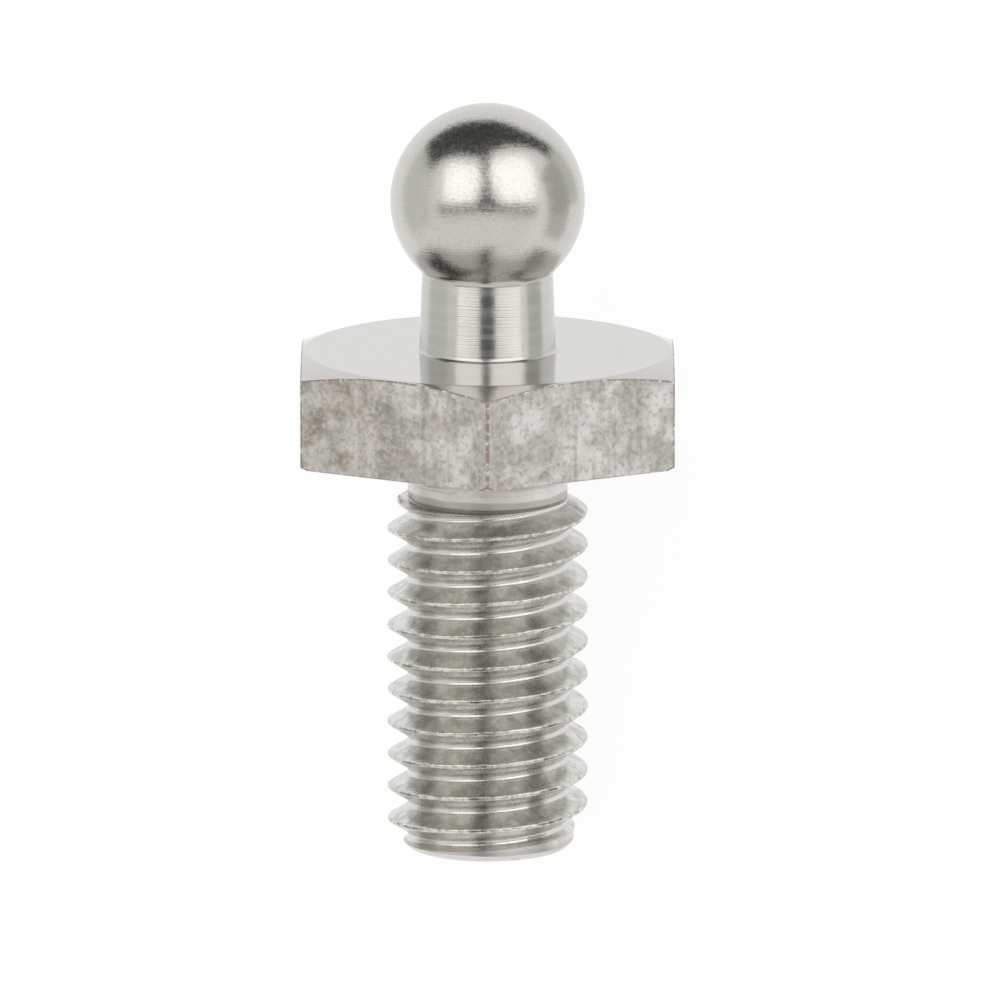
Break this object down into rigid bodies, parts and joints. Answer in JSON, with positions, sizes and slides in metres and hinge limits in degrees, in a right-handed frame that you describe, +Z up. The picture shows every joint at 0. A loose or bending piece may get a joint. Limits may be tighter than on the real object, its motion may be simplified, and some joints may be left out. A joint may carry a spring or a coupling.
{
  "type": "ball stud",
  "caption": "Machine screw stud turned in one piece: ball end on a short neck, hexagon for a spanner, and a fine right-hand machine thread with a relief below the hexagon.",
  "frame": {"origin": "on the resting surface, below the middle of the stud's length and width", "axes": "+Z up; +Y along the stud from its thread end to its ball, seen from above, with the axis rising towards the ball by 12.6 degrees; the hexagon's width lies along X"},
  "size_m": [0.0104, 0.0182, 0.0093],
  "materials": {
    "bright_steel": "plain stainless steel: ball polished, neck and hexagon top turned bright, hexagon flats mottled as drawn, thread satin"
  },
  "bodies": {
    "root": {"ball_stud": "bright_steel"}
  },
  "joints": []
}
